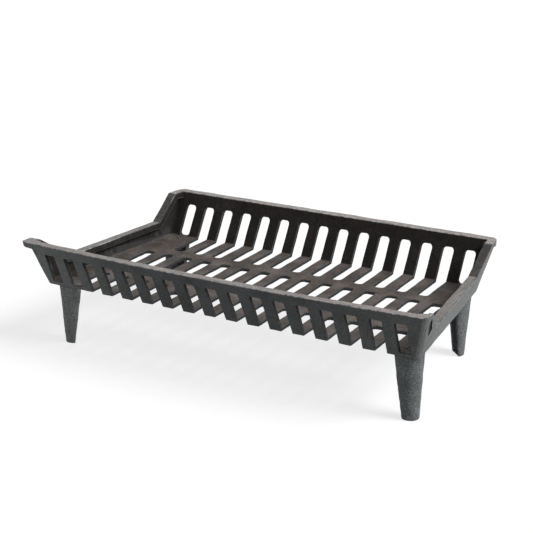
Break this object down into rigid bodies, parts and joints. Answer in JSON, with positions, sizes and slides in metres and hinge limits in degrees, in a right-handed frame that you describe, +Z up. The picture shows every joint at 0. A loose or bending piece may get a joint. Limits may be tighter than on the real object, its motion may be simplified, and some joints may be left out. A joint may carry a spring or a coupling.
{
  "type": "fireplace log grate",
  "caption": "Cast iron fireplace log grate: a slotted tray with leaning front and back walls and low ends, standing on short half-round legs.",
  "frame": {"origin": "middle of the bounding box, on the floor under the feet", "axes": "+X to the right along the front, +Y toward the back wall, +Z up; the bowed front wall faces -Y"},
  "size_m": [0.6099, 0.352, 0.1555],
  "materials": {
    "tray_iron": "as-cast grey iron with a thin dull black wash",
    "leg_iron": "coarse sand-cast grey iron",
    "fastener_steel": "dull plain steel"
  },
  "bodies": {
    "root": {"tray_casting": "tray_iron", "leg_front_left": "leg_iron", "leg_front_right": "leg_iron", "leg_back_left": "leg_iron", "leg_back_right": "leg_iron", "bolt_front_left": "fastener_steel", "bolt_front_right": "fastener_steel", "bolt_back_left": "fastener_steel", "bolt_back_right": "fastener_steel", "washer_front_left": "fastener_steel", "washer_front_right": "fastener_steel", "washer_back_left": "fastener_steel", "washer_back_right": "fastener_steel", "nut_front_left": "fastener_steel", "nut_front_right": "fastener_steel", "nut_back_left": "fastener_steel", "nut_back_right": "fastener_steel"}
  },
  "joints": []
}
